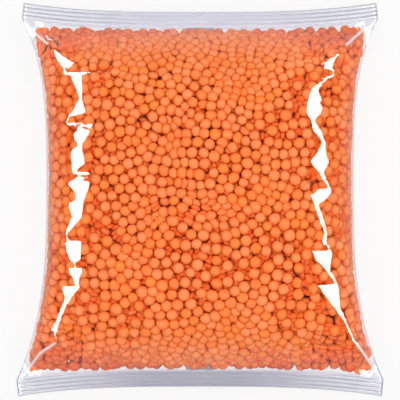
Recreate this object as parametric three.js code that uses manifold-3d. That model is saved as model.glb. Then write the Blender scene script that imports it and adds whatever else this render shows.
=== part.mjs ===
// A clear pillow bag of red lentils, lying on its back. Millimetres, +Z up, the bag's top towards +Y.
// The origin is on the surface that the bag lies on, under the middle of its outline.
// The bag is one solid out to its film, with a bump for each lentil that presses against the film.
// Each end is a ribbed heat seal, which stands clear of the surface at about a third of the bag's depth.
import * as THREE from "three";
import Module from "manifold-3d";

// Outline of the filled bag
const LENGTH = 170.4;
const TOP_SEAL_WIDTH = 155;
const BOTTOM_SEAL_WIDTH = 158;
const WAIST_WIDTH = 132;
const WAIST_POWER_TOP = 3.5;
const WAIST_POWER_BOTTOM = 2.8;

// Depth: how far the front and back stand from the plane of the two seals
const SEAL_PLANE_Z = 17;
const FRONT_BULGE = 29;
const BACK_BULGE = 24;
const LENS_POWER = 4;
const EDGE_HALF_THICKNESS = 0.6;
const FLAT_BLEND = 2.5;
const CUT_DEPTH = 0.6;

// Roundness of the cross-section: 2 is an ellipse, more is squarer, less is a lens with thin edges
const ROUNDNESS_AT_WAIST = 2.7;
const ROUNDNESS_AT_SEALS = 1.4;

// Heat seals: the filled body pulls the middle of each seal inwards
const SEAL_HEIGHT = 6.9;
const SEAL_PULL = 4.3;
const SEAL_PULL_POWER = 3;
const SEAL_DROOP = 2;
const SEAL_TAPER = 0.8;
const SEAL_THICKNESS = 0.8;
const RIB_COUNT = 4;
const RIB_DEPTH = 0.45;
const SEAL_EDGE = 0.05;

// Lentils: the pitch of the bumps follows from how many go round the film and along it
const LENTILS_AROUND = 54;
const LENTIL_ROWS = 35;
const BUMP_HEIGHT = 0.75;
const GAP_DEPTH = 0.8;
const BUMP_SPREAD = 0.45;
const PLACE_SPREAD = 0.55;
const THINNEST_FILLED = 3;
const FULL_RELIEF = 9;
const RELIEF_FROM_FLAT = 3;
const RANDOM_SEED = 7;

// Along the side edges the film is thin but full: how far the edge reaches round, and how full it must be
const EDGE_REACH = 0.25;
const EDGE_BARE_BELOW = 0.1;
const EDGE_FULL_ABOVE = 0.3;

// How finely the film is measured: before points are spread evenly along it, and for its outward direction
const RING_SAMPLES = 720;
const PROFILE_SAMPLES = 400;
const DIRECTION_STEP = 0.01;

const LENTIL_ORANGE = 0xf8803f;

const HALF_BODY = LENGTH / 2 - SEAL_HEIGHT - SEAL_PULL;
const SEAL_STEPS = RIB_COUNT * 2;

// A repeatable random number from 0 to 1
function randomFrom(seed) {
  let state = seed;
  return () => {
    state = (state + 0x6d2b79f5) | 0;
    let mixed = Math.imul(state ^ (state >>> 15), 1 | state);
    mixed = (mixed + Math.imul(mixed ^ (mixed >>> 7), 61 | mixed)) ^ mixed;
    return ((mixed ^ (mixed >>> 14)) >>> 0) / 4294967296;
  };
}

function smoothstep(low, high, value) {
  const share = Math.min(1, Math.max(0, (value - low) / (high - low)));
  return share * share * (3 - 2 * share);
}

function signedPower(value, power) {
  return Math.sign(value) * Math.abs(value) ** power;
}

// Half the bag's width at v, which runs from -1 at the bottom seal to 1 at the top seal
function halfWidth(v) {
  const seal = (v > 0 ? TOP_SEAL_WIDTH : BOTTOM_SEAL_WIDTH) / 2;
  const power = v > 0 ? WAIST_POWER_TOP : WAIST_POWER_BOTTOM;
  const waist = WAIST_WIDTH / 2;
  return waist + (seal - waist) * Math.abs(v) ** power;
}

// How full the bag is at v: 1 at the waist and 0 at the seals
function lens(v) {
  return 1 - Math.abs(v) ** LENS_POWER;
}

// How far a seal lies from the middle of the bag at u, which runs from -1 to 1 across it
function sealDistance(u) {
  return HALF_BODY + SEAL_PULL * Math.abs(u) ** SEAL_PULL_POWER;
}

// The height of the plane in which front and back film meet
function seamHeight(u, v) {
  return SEAL_PLANE_Z - SEAL_DROOP * u * u * v ** 6;
}

// The back film lies flat where it would pass below the surface, and curves up from there
function liftedFromFlat(z) {
  const above = z + CUT_DEPTH;
  if (above > FLAT_BLEND) return z;
  if (above < -FLAT_BLEND) return -CUT_DEPTH;
  return (above + FLAT_BLEND) ** 2 / (4 * FLAT_BLEND) - CUT_DEPTH;
}

// A point of the film: angle 0 is the right-hand edge, and the front is at angles up to pi
function filmPoint(v, angle) {
  const full = lens(v);
  const roundness =
    ROUNDNESS_AT_SEALS + (ROUNDNESS_AT_WAIST - ROUNDNESS_AT_SEALS) * full;
  const u = signedPower(Math.cos(angle), 2 / roundness);
  const side = signedPower(Math.sin(angle), 2 / roundness);
  const bulge = (side > 0 ? FRONT_BULGE : BACK_BULGE) * full + EDGE_HALF_THICKNESS;
  return new THREE.Vector3(
    u * halfWidth(v),
    v * sealDistance(u),
    liftedFromFlat(seamHeight(u, v) + side * bulge),
  );
}

// Rows of lentils stand at equal steps along the front film
function rowPositions() {
  const lengths = [0];
  let previous = filmPoint(-1, Math.PI / 2);
  for (let k = 1; k <= PROFILE_SAMPLES; k++) {
    const next = filmPoint(-1 + (2 * k) / PROFILE_SAMPLES, Math.PI / 2);
    lengths.push(lengths[k - 1] + next.distanceTo(previous));
    previous = next;
  }
  const rows = [];
  let k = 0;
  for (let row = 0; row < LENTIL_ROWS; row++) {
    const wanted = (lengths[PROFILE_SAMPLES] * row) / (LENTIL_ROWS - 1);
    while (k < PROFILE_SAMPLES - 1 && lengths[k + 1] < wanted) k++;
    const share = (wanted - lengths[k]) / (lengths[k + 1] - lengths[k]);
    rows.push(-1 + (2 * (k + share)) / PROFILE_SAMPLES);
  }
  return rows;
}

// Angles of the film at v that are evenly spaced along it, the first one shifted by a share of a step
function evenAngles(v, shift) {
  const lengths = [0];
  let previous = filmPoint(v, 0);
  for (let k = 1; k <= RING_SAMPLES; k++) {
    const next = filmPoint(v, (2 * Math.PI * k) / RING_SAMPLES);
    lengths.push(lengths[k - 1] + next.distanceTo(previous));
    previous = next;
  }
  const angles = [];
  let k = 0;
  for (let i = 0; i < LENTILS_AROUND; i++) {
    const wanted = (lengths[RING_SAMPLES] * (i + shift)) / LENTILS_AROUND;
    while (k < RING_SAMPLES - 1 && lengths[k + 1] < wanted) k++;
    const share = (wanted - lengths[k]) / (lengths[k + 1] - lengths[k]);
    angles.push((2 * Math.PI * (k + share)) / RING_SAMPLES);
  }
  return angles;
}

// The film's outward direction at a point
function outward(v, angle) {
  const ahead = Math.min(1, v + DIRECTION_STEP);
  const behind = Math.max(-1, v - DIRECTION_STEP);
  const along = filmPoint(ahead, angle).sub(filmPoint(behind, angle));
  const around = filmPoint(v, angle + DIRECTION_STEP).sub(filmPoint(v, angle - DIRECTION_STEP));
  return along.cross(around).normalize();
}

// How much of the relief shows: none where the bag is too thin for a lentil or lies on the surface
function reliefAt(v, angle, point) {
  const opposite = filmPoint(v, -angle);
  const depth = Math.abs(point.z - opposite.z);
  const filled = smoothstep(THINNEST_FILLED, FULL_RELIEF, depth);
  const fromEdge = smoothstep(0, EDGE_REACH, Math.abs(Math.sin(angle)));
  const edgeFilled = (1 - fromEdge) * smoothstep(EDGE_BARE_BELOW, EDGE_FULL_ABOVE, lens(v));
  return Math.max(filled, edgeFilled) * smoothstep(-CUT_DEPTH, RELIEF_FROM_FLAT, point.z);
}

// Merged triangles as a manifold solid
function solidFrom(wasm, points, triangles) {
  return new wasm.Manifold(
    new wasm.Mesh({
      numProp: 3,
      vertProperties: new Float32Array(points.flatMap((p) => [p.x, p.y, p.z])),
      triVerts: new Uint32Array(triangles.flat()),
    }),
  );
}

function geometryFrom(solid) {
  const made = solid.getMesh();
  return new THREE.BufferGeometry()
    .setAttribute("position", new THREE.BufferAttribute(made.vertProperties, 3))
    .setIndex(new THREE.BufferAttribute(made.triVerts, 1));
}

// A ring of the filled part at v, with a peak where each lentil presses against the film
function lentilRing(v, row, random) {
  const atSeal = Math.abs(v) === 1;
  return evenAngles(v, (row % 2) / 2).map((evenAngle) => {
    const spread = atSeal ? 0 : PLACE_SPREAD / (2 * FRONT_BULGE);
    const angle = evenAngle + (random() - 0.5) * spread;
    const point = filmPoint(v, angle);
    const relief = atSeal ? 0 : reliefAt(v, angle, point);
    const rise = BUMP_HEIGHT + (random() - 0.5) * 2 * BUMP_SPREAD;
    return { point: point.addScaledVector(outward(v, angle), relief * rise), relief };
  });
}

// A ring of a heat seal, two layers of film crimped into ribs that run along it. side is 1 at the top and
// -1 at the bottom, and step counts the folds of the ribs from the filled part to the bag's end
function sealRing(side, step) {
  const share = step / SEAL_STEPS;
  const ridge = step % 2 ? RIB_DEPTH : -RIB_DEPTH;
  return evenAngles(side, 0).map((angle) => {
    const u = signedPower(Math.cos(angle), 2 / ROUNDNESS_AT_SEALS);
    const face = Math.max(-1, Math.min(1, Math.sin(angle) / SEAL_EDGE)) * (SEAL_THICKNESS / 2);
    const x = u * (halfWidth(side) - SEAL_TAPER * share);
    const y = side * (sealDistance(u) + SEAL_HEIGHT * share);
    return { point: new THREE.Vector3(x, y, seamHeight(u, side) + ridge + face), relief: 0 };
  });
}

// The bag's rings from its bottom edge to its top edge
function bagRings() {
  const random = randomFrom(RANDOM_SEED);
  const steps = Array.from({ length: SEAL_STEPS }, (_, k) => k + 1);
  return [
    ...steps.toReversed().map((step) => sealRing(-1, step)),
    ...rowPositions().map((v, row) => lentilRing(v, row, random)),
    ...steps.map((step) => sealRing(1, step)),
  ];
}

// The whole bag: triangles wind round it from ring to ring, with a gap sunk into the middle of each
// triangle of neighbouring lentils, and the back is cut flat where it lies on the surface
function lentilBag(wasm) {
  const rings = bagRings();
  const points = rings.flat().map(({ point }) => point);
  const reliefs = rings.flat().map(({ relief }) => relief);
  const seat = (ring, i) =>
    ring * LENTILS_AROUND + ((i + LENTILS_AROUND) % LENTILS_AROUND);
  const triangles = [];
  const addTriangle = (a, b, c) => {
    const relief = (reliefs[a] + reliefs[b] + reliefs[c]) / 3;
    if (relief === 0) {
      triangles.push([a, b, c]);
      return;
    }
    const middle = points[a].clone().add(points[b]).add(points[c]).divideScalar(3);
    const facing = points[b]
      .clone()
      .sub(points[a])
      .cross(points[c].clone().sub(points[a]))
      .normalize();
    points.push(middle.addScaledVector(facing, -relief * (GAP_DEPTH + BUMP_HEIGHT)));
    const gap = points.length - 1;
    triangles.push([a, b, gap], [b, c, gap], [c, a, gap]);
  };
  const last = rings.length - 1;
  for (let ring = 0; ring < last; ring++) {
    const row = ring - SEAL_STEPS;
    const ahead = row > 0 && row < LENTIL_ROWS - 1 ? row % 2 : 0;
    for (let i = 0; i < LENTILS_AROUND; i++) {
      const here = seat(ring, i);
      const next = seat(ring, i + 1);
      const above = seat(ring + 1, i + ahead);
      const aboveBehind = seat(ring + 1, i + ahead - 1);
      addTriangle(here, above, next);
      addTriangle(here, aboveBehind, above);
    }
  }
  closeEnd(triangles, (i) => seat(0, i), false);
  closeEnd(triangles, (i) => seat(last, i), true);
  const pieces = solidFrom(wasm, points, triangles).subtract(slabBelow(wasm)).decompose();
  return pieces.sort((a, b) => b.volume() - a.volume())[0];
}

// An end of the bag is a thin edge: each front point joins the back point under it
function closeEnd(triangles, seat, atTop) {
  const add = (a, b, c) => triangles.push(atTop ? [a, c, b] : [a, b, c]);
  for (let i = 0; i < LENTILS_AROUND / 2; i++) {
    if (i > 0) add(seat(i), seat(i + 1), seat(-i));
    if (i + 1 < LENTILS_AROUND / 2) add(seat(i + 1), seat(-i - 1), seat(-i));
  }
}

// Everything below the surface that the bag lies on, which the flat of its back is cut along
function slabBelow(wasm) {
  const size = 2 * LENGTH;
  const corners = [];
  for (const z of [-size, 0]) {
    corners.push(
      new THREE.Vector3(-size, -size, z),
      new THREE.Vector3(size, -size, z),
      new THREE.Vector3(size, size, z),
      new THREE.Vector3(-size, size, z),
    );
  }
  const faces = [
    [0, 2, 1],
    [0, 3, 2],
    [4, 5, 6],
    [4, 6, 7],
  ];
  for (let i = 0; i < 4; i++) {
    const next = (i + 1) % 4;
    faces.push([i, next, next + 4], [i, next + 4, i + 4]);
  }
  return solidFrom(wasm, corners, faces);
}

const wasm = await Module();
wasm.setup();

const lentilsThroughFilm = new THREE.MeshStandardMaterial({
  color: LENTIL_ORANGE,
  roughness: 0.3,
  metalness: 0,
});
const bagMesh = new THREE.Mesh(geometryFrom(lentilBag(wasm)), lentilsThroughFilm);
bagMesh.name = "lentil_bag";

const bag = new THREE.Group();
bag.add(bagMesh);

export default bag;
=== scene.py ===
# %% [markdown]
# A clear pillow bag of red lentils, lying on its back on a pale floor and seen from straight above.
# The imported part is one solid, lentil_bag. Here it is replaced by what a real bag is: thousands of loose
# lentils, and one tube of clear film around them that is crimped shut at both ends.

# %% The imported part
import math

import bpy
import numpy as np
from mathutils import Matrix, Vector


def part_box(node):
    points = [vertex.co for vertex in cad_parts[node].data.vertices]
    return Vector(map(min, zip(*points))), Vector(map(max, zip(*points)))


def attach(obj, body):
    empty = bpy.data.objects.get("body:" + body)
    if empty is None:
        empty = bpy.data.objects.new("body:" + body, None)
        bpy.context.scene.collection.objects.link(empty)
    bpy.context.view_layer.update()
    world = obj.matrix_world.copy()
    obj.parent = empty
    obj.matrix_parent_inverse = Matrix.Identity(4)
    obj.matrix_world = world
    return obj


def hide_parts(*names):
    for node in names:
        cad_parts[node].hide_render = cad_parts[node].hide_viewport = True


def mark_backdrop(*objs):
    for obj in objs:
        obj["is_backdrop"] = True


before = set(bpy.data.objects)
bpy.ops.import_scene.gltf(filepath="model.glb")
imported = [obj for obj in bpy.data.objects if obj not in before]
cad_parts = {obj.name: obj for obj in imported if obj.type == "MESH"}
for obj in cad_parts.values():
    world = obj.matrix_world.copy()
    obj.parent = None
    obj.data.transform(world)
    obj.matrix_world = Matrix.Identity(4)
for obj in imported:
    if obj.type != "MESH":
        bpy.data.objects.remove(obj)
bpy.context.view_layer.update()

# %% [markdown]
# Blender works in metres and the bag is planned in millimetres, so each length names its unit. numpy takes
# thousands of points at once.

MM = 0.001
NODE = "lentil_bag"
low, high = (np.array(corner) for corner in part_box(NODE))
print("packed bag, mm:", np.round((high - low) / MM, 1))

# %% [markdown]
# The bag's shape. A filled pillow bag is widest at its two seals and pulls in at the waist, where it is
# thickest. It could be sculpted or simulated, but lentils, film and core all have to agree with the packed
# solid, so the shape is a formula that each of them asks: v runs from seal to seal, and an angle runs round.

# %% Outline and depth
BOTTOM_SEAL_WIDTH = high[0] - low[0]
TOP_SEAL_WIDTH = BOTTOM_SEAL_WIDTH - 3 * MM
LENGTH = high[1] - low[1]
WAIST_WIDTH = 132 * MM
WAIST_POWER_TOP = 3.5
WAIST_POWER_BOTTOM = 2.8
SEAL_HEIGHT = 6.9 * MM
SEAL_PULL = 4.3 * MM
SEAL_PULL_POWER = 3
SEAL_DROOP = 2 * MM
SEAL_DROOP_POWER = 6
SEAL_PLANE_Z = 17 * MM
FRONT_BULGE = 29 * MM
BACK_BULGE = 24 * MM
LENS_POWER = 4
LAYER_GAP = 0.06 * MM
FLAT_BLEND = 2.5 * MM
ROUNDNESS_AT_WAIST = 2.7
ROUNDNESS_AT_SEALS = 2.2
HALF_BODY = LENGTH / 2 - SEAL_HEIGHT - SEAL_PULL


def signed_power(value, power):
    return np.sign(value) * np.abs(value) ** power


def half_width(v):
    seal = np.where(v > 0, TOP_SEAL_WIDTH, BOTTOM_SEAL_WIDTH) / 2
    power = np.where(v > 0, WAIST_POWER_TOP, WAIST_POWER_BOTTOM)
    return WAIST_WIDTH / 2 + (seal - WAIST_WIDTH / 2) * np.abs(v) ** power


def fullness(v):
    return 1 - np.minimum(np.abs(v), 1) ** LENS_POWER


def roundness(v):
    return ROUNDNESS_AT_SEALS + (ROUNDNESS_AT_WAIST - ROUNDNESS_AT_SEALS) * fullness(v)


def seal_distance(u):
    return HALF_BODY + SEAL_PULL * np.abs(u) ** SEAL_PULL_POWER


def seam_height(u, v):
    return SEAL_PLANE_Z - SEAL_DROOP * u * u * v**SEAL_DROOP_POWER


def bulge(side, v):
    return np.where(side > 0, FRONT_BULGE, BACK_BULGE) * fullness(v) + LAYER_GAP


def above_floor(z, rest):
    share = np.clip((z - rest + FLAT_BLEND) / (2 * FLAT_BLEND), 0, 1)
    return np.where(z > rest + FLAT_BLEND, z, rest + FLAT_BLEND * share**2)


print("half widths, mm:", np.round(half_width(np.array([-1, 0, 1])) / MM, 1))


# %% [markdown]
# The ears. No lentil gets into the very corners, so front and back film lie together there, as a flat and
# empty triangle beside the filled part.

# %% Ears
EAR_WIDTH = 6.5 * MM
EAR_START_TOP = 0.80
EAR_START_BOTTOM = 0.86
EAR_POWER = 1.5
LEAST_EAR = 0.03 * MM


def ear(v):
    start = np.where(v > 0, EAR_START_TOP, EAR_START_BOTTOM)
    return np.maximum(EAR_WIDTH * np.clip((np.abs(v) - start) / (1 - start), 0, 1) ** EAR_POWER, LEAST_EAR)


def filled_half_width(v):
    return half_width(v) - ear(v)


print("ears at the seals, mm:", EAR_WIDTH / MM)

# %% [markdown]
# A point of the filled part's film and the way it faces. The direction comes from small steps over the film,
# which is simpler than the slope of each formula and follows every later change of shape.

# %% Points of the film
FILM_REST = 0.15 * MM
DIRECTION_STEP = 0.01
SHORTEST = 1e-12


def film_point(v, angle):
    power = 2 / roundness(v)
    x = signed_power(np.cos(angle), power) * filled_half_width(v)
    side = signed_power(np.sin(angle), power)
    u = x / half_width(v)
    z = above_floor(seam_height(u, v) + side * bulge(side, v), FILM_REST)
    return np.stack([x, v * seal_distance(u), z], axis=-1)


def unit(vectors):
    return vectors / np.maximum(np.linalg.norm(vectors, axis=-1, keepdims=True), SHORTEST)


def film_patch(v, angle):
    """Faces as the film does, and is as long as the area of a small patch of it."""
    ahead = np.minimum(v + DIRECTION_STEP, 1)
    behind = np.maximum(v - DIRECTION_STEP, -1)
    along = film_point(ahead, angle) - film_point(behind, angle)
    around = film_point(v, angle + DIRECTION_STEP) - film_point(v, angle - DIRECTION_STEP)
    return np.cross(along, around)


def film_normal(v, angle):
    return unit(film_patch(v, angle))


print("top of the filled part, mm:", round(float(film_point(0.0, math.pi / 2)[2]) / MM, 1))

# %% [markdown]
# Where a point inside the bag is: how deep under the film, and which way the film faces there. Turning the
# film's formula round gives it at once, where a search for the nearest of many film points would be slow.

# %% Depth under the film
JUST_INSIDE = 0.999
FURTHEST_LENTIL = 0.992


def bag_place(x, y, furthest):
    """Where (x, y) is across the bag, along it, and across its filled part."""
    u = np.clip(x / half_width(y / HALF_BODY), -JUST_INSIDE, JUST_INSIDE)
    v = np.clip(y / seal_distance(u), -furthest, furthest)
    return x / half_width(v), v, np.clip(x / filled_half_width(v), -JUST_INSIDE, JUST_INSIDE)


def film_place(points):
    x, y, z = points.T
    u, v, filled = bag_place(x, y, FURTHEST_LENTIL)
    side = (z - seam_height(u, v)) / bulge(z - seam_height(u, v), v)
    half_power = roundness(v) / 2
    angle = np.arctan2(signed_power(side, half_power), signed_power(filled, half_power))
    normal = film_normal(v, angle)
    depth = ((film_point(v, angle) - points) * normal).sum(1)
    return depth, normal


def face_heights(x, y):
    """Heights of the back and front film over a point of the floor."""
    u, v, filled = bag_place(x, y, 1)
    rise = (1 - np.abs(filled) ** roundness(v)) ** (1 / roundness(v))
    seam = seam_height(u, v)
    back = above_floor(seam - rise * bulge(-1, v), FILM_REST)
    return back, seam + rise * bulge(1, v)


print("back and front film over the middle, mm:", np.round(np.array(face_heights(0.0, 0.0)) / MM, 1))

# %% [markdown]
# The lentils. Red lentils are shelled: small round lenses about 5 mm across and half as thick. Pressed by
# the film, most lie flat against it and some stand on edge. A rigid-body simulation would take many minutes.
# Here each lentil is a flattened ball that pushes its neighbours away and turns until they fit, which takes
# seconds. Only a shell of them is made, because nothing shows below it.

# %% How many lentils, and how big
SEED = 11
LENTIL_DIAMETER = 4.85 * MM
DIAMETER_SPREAD = 0.25 * MM
LARGEST_CHANGE = 0.7 * MM
BOTTOM_LARGER = 0.3 * MM
THICKNESS_SHARE = 0.44
AXIS_SPREAD = 0.28
SETTLED_FLAT = 0.8
SHELL_DEPTH = 6.4 * MM
SHELL_MARGIN = 1.2 * MM
LENTIL_COUNT = 7300
TRIES_PER_LENTIL = 6
NEAREST_TO_SEAL = 0.98

rng = np.random.default_rng(SEED)


def scattered_in_shell(count):
    """Points under the film, evenly spread over its area and over the depth of the shell."""
    tries = count * TRIES_PER_LENTIL
    v = rng.uniform(-NEAREST_TO_SEAL, NEAREST_TO_SEAL, tries)
    angle = rng.uniform(0, 2 * math.pi, tries)
    area = np.linalg.norm(film_patch(v, angle), axis=1)
    chosen = rng.choice(tries, count, replace=False, p=area / area.sum())
    depth = rng.uniform(SHELL_MARGIN, SHELL_DEPTH - SHELL_MARGIN, count)
    return film_point(v[chosen], angle[chosen]) - film_normal(v[chosen], angle[chosen]) * depth[:, None]


place = scattered_in_shell(LENTIL_COUNT)
larger = BOTTOM_LARGER * -place[:, 1] / HALF_BODY
change = rng.normal(0, DIAMETER_SPREAD, LENTIL_COUNT).clip(-LARGEST_CHANGE, LARGEST_CHANGE)
diameter = LENTIL_DIAMETER + larger + change
facing = film_place(place)[1]
flat = np.outer(np.sign(facing[:, 2]), [0, 0, SETTLED_FLAT])
axis = unit(facing + flat + rng.normal(0, AXIS_SPREAD, (LENTIL_COUNT, 3)))
print("lentils:", LENTIL_COUNT, "mean diameter mm:", round(diameter.mean() / MM, 2))

# %% [markdown]
# Which lentils are close enough to touch. Comparing all would be millions of distances, so they are sorted
# into cells a little larger than a lentil, and only neighbouring cells are compared.

# %% Neighbours
PAIRS_REACH = 5.8 * MM


def neighbour_pairs(points, reach):
    cell = np.floor(points / reach).astype(np.int64)
    cell -= cell.min(0) - 1
    rows, columns = cell[:, 1].max() + 2, cell[:, 2].max() + 2
    key = (cell[:, 0] * rows + cell[:, 1]) * columns + cell[:, 2]
    order = np.argsort(key)
    ordered = key[order]
    offsets = [(a * rows + b) * columns + c for a in (-1, 0, 1) for b in (-1, 0, 1) for c in (-1, 0, 1)]
    firsts, seconds = [], []
    for offset in offsets:
        start = np.searchsorted(ordered, key + offset, "left")
        count = np.searchsorted(ordered, key + offset, "right") - start
        first = np.repeat(np.arange(len(points)), count)
        within = np.arange(count.sum()) - np.repeat(np.cumsum(count) - count, count)
        firsts.append(first)
        seconds.append(order[np.repeat(start, count) + within])
    first, second = np.concatenate(firsts), np.concatenate(seconds)
    near = (first < second) & (((points[first] - points[second]) ** 2).sum(1) < reach**2)
    return first[near], second[near]


print("pairs within reach at the start:", len(neighbour_pairs(place, PAIRS_REACH)[0]))

# %% [markdown]
# The push between two flattened balls. They touch a whole diameter apart edge to edge, and one thickness
# apart face to face. A well-known formula for flattened particles gives the distance for each lean between,
# and its slope says which way each has to turn to fit.

# %% Pushing two lentils apart
FLATNESS = (THICKNESS_SHARE**2 - 1) / (THICKNESS_SHARE**2 + 1)
PUSH = 0.42
TURN = 0.07
LEAST_DISTANCE = 1e-9


def dot(a, b):
    return (a * b).sum(1)


def summed(index, vectors, count):
    return np.stack([np.bincount(index, vectors[:, k], count) for k in range(3)], axis=1)


def push_apart(place, axis, first, second):
    count = len(place)
    apart = place[second] - place[first]
    distance = np.linalg.norm(apart, axis=1) + LEAST_DISTANCE
    towards = apart / distance[:, None]
    lean_first, lean_second = dot(towards, axis[first]), dot(towards, axis[second])
    alike = FLATNESS * dot(axis[first], axis[second])
    plus = (lean_first + lean_second) / (1 + alike)
    minus = (lean_first - lean_second) / (1 - alike)
    squeeze = (lean_first + lean_second) * plus + (lean_first - lean_second) * minus
    touching = (diameter[first] + diameter[second]) / 2 / np.sqrt(1 - FLATNESS / 2 * squeeze)
    overlap = np.maximum(touching - distance, 0)
    push = towards * (overlap * PUSH)[:, None]
    moved = summed(second, push, count) - summed(first, push, count)
    bend = (FLATNESS * (minus**2 - plus**2))[:, None]
    turn = (TURN * overlap / LENTIL_DIAMETER)[:, None]
    turn_first = turn * (2 * (plus + minus)[:, None] * towards + bend * axis[second])
    turn_second = turn * (2 * (plus - minus)[:, None] * towards + bend * axis[first])
    turned = summed(first, turn_first, count) + summed(second, turn_second, count)
    return place + moved, unit(axis + turned), overlap


print("flatness, from 0 for a ball to -1 for a disc:", round(FLATNESS, 2))

# %% [markdown]
# The film holds the lentils in, and they lie flat against it. It hugs them in the middle, and stands off a
# little where it creases and more along the sides. There it does so in slow waves, so that the orange doesn't
# end in a straight line. Two sines make them, which is simpler than noise.

# %% The film as a wall
WALL_TURN = 0.6
SLOPE_STEP = 0.5 * MM
FILM_CLEARANCE = 0.12 * MM
CREASE_ROOM = 0.35 * MM
CREASES_FROM = 0.62
SIDE_ROOM = 0.5 * MM
SIDES_FROM = 0.86
ROOM_RAMP = 0.1
SIDE_WAVE = 6.5 * MM
SECOND_WAVE = 0.8
SECOND_PITCH = 2.3
SECOND_SHIFT = 1.3
MEAN_SWELL = 0.5
SWELL_SHARE = 0.28


def film_clearance(points):
    x, y, _ = points.T
    across = np.abs(x) / half_width(y / HALF_BODY)
    at_creases = CREASE_ROOM * np.clip((across - CREASES_FROM) / ROOM_RAMP, 0, 1)
    second_wave = np.sin(y / SIDE_WAVE * SECOND_PITCH + SECOND_SHIFT * np.sign(x))
    swell = MEAN_SWELL + SWELL_SHARE * (np.sin(y / SIDE_WAVE) + SECOND_WAVE * second_wave)
    at_sides = SIDE_ROOM * np.clip((across - SIDES_FROM) / ROOM_RAMP, 0, 1) * swell
    return FILM_CLEARANCE + at_creases + at_sides


def half_extent(lean):
    """How far a lentil reaches towards a wall that its axis leans towards by this cosine."""
    return diameter / 2 * np.sqrt(1 - lean**2 * (1 - THICKNESS_SHARE**2))


def push_from_wall(place, axis, depth, inward, clearance):
    """Moves lentils that reach through a wall back inside, and turns them flat against it."""
    lean = dot(axis, inward)
    overlap = np.maximum(half_extent(lean) + clearance - depth, 0)
    turn = WALL_TURN * overlap / LENTIL_DIAMETER * np.sign(lean)
    return place + inward * overlap[:, None], unit(axis + inward * turn[:, None])


def keep_inside(place, axis):
    depth, normal = film_place(place)
    clearance = film_clearance(place)
    place, axis = push_from_wall(place, axis, depth, -normal, clearance)
    place = place + normal * np.maximum(depth - SHELL_DEPTH + LENTIL_DIAMETER / 2, 0)[:, None]
    step = SLOPE_STEP
    for side, sign in ((0, 1), (1, -1)):
        x, y, z = place.T
        height = face_heights(x, y)[side]
        slope_x = (face_heights(x + step, y)[side] - face_heights(x - step, y)[side]) / (2 * step)
        slope_y = (face_heights(x, y + step)[side] - face_heights(x, y - step)[side]) / (2 * step)
        inward = unit(sign * np.stack([-slope_x, -slope_y, np.ones_like(x)], axis=1))
        depth = sign * (z - height) * np.abs(inward[:, 2])
        place, axis = push_from_wall(place, axis, depth, inward, clearance)
    return place, axis


print("least room between lentils and film, mm:", FILM_CLEARANCE / MM)

# %% [markdown]
# Settling. The lentils drift outward, push one another away, turn and are kept inside, over and over. A pair
# that is still too crowded at the end would cut through each other, so its deeper lentil is left out.

# %% Settling
SETTLE_STEPS = 110
STEPS_PER_SEARCH = 6
DRIFTING_SHARE = 0.7
OUTWARD_DRIFT = 0.06 * MM
FLAT_TURN = 0.003
STRAY_DEPTH = 0.3 * MM
EDGE_OVERLAP = -0.1 * MM
SEAL_ROOM = 1.0 * MM
CROWDED = 0.42

for step in range(SETTLE_STEPS):
    if step % STEPS_PER_SEARCH == 0:
        first, second = neighbour_pairs(place, PAIRS_REACH)
    if step < SETTLE_STEPS * DRIFTING_SHARE:
        place = place + film_place(place)[1] * OUTWARD_DRIFT
    place, axis, overlap = push_apart(place, axis, first, second)
    axis = unit(axis + np.outer(np.sign(axis[:, 2]), [0, 0, FLAT_TURN]))
    place, axis = keep_inside(place, axis)
depth, normal = film_place(place)
print("mean overlap of touching lentils, mm:", round(overlap[overlap > 0].mean() / MM, 3))
to_edge = half_width(place[:, 1] / HALF_BODY) - np.abs(place[:, 0]) - half_extent(axis[:, 0])
to_seal = seal_distance(place[:, 0] / half_width(1.0)) - np.abs(place[:, 1])
inside = (depth > STRAY_DEPTH) & (to_edge > EDGE_OVERLAP) & (to_seal > SEAL_ROOM)
crowding = overlap / (overlap + np.linalg.norm(place[second] - place[first], axis=1))
deeper = np.where(depth[first] > depth[second], first, second)
for pair in np.argsort(-crowding)[: (crowding > CROWDED).sum()]:
    if inside[first[pair]] and inside[second[pair]]:
        inside[deeper[pair]] = False
print("lentils left in:", int(inside.sum()), "pairs too close:", int((crowding > CROWDED).sum()))

# %% [markdown]
# The mesh of one lentil: rings of points from pole to pole, on a profile that is fuller than two cones and
# sharper at the rim than an ellipse, as a shelled lentil is. Squashing a sphere would make the rim too blunt.

# %% One lentil
RIM_POWER = 1.8


def lentil_template(segments, rings):
    """Points and triangles of a lentil of radius 1 and half thickness 1, axis along z."""
    tilt = np.linspace(0, math.pi, rings * 2 + 1)[1:-1]
    turn = np.arange(segments) * 2 * math.pi / segments
    radius = np.abs(np.sin(tilt)) ** (2 / RIM_POWER)
    x, y = np.outer(radius, np.cos(turn)), np.outer(radius, np.sin(turn))
    z = np.repeat(np.cos(tilt)[:, None], segments, axis=1)
    points = np.vstack([[0, 0, 1], np.stack([x, y, z], axis=-1).reshape(-1, 3), [0, 0, -1]])
    triangles = []
    last = len(points) - 1
    for k in range(segments):
        after = (k + 1) % segments
        triangles.append((0, 1 + k, 1 + after))
        triangles.append((last, last - segments + after, last - segments + k))
        for ring in range(len(tilt) - 1):
            here, below = 1 + ring * segments, 1 + (ring + 1) * segments
            triangles.append((here + k, below + k, below + after))
            triangles.append((here + k, below + after, here + after))
    return points, np.array(triangles)


FINE_LENTIL = lentil_template(14, 3)
PLAIN_LENTIL = lentil_template(8, 2)
print("triangles in a fine and a plain lentil:", len(FINE_LENTIL[1]), len(PLAIN_LENTIL[1]))
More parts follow.
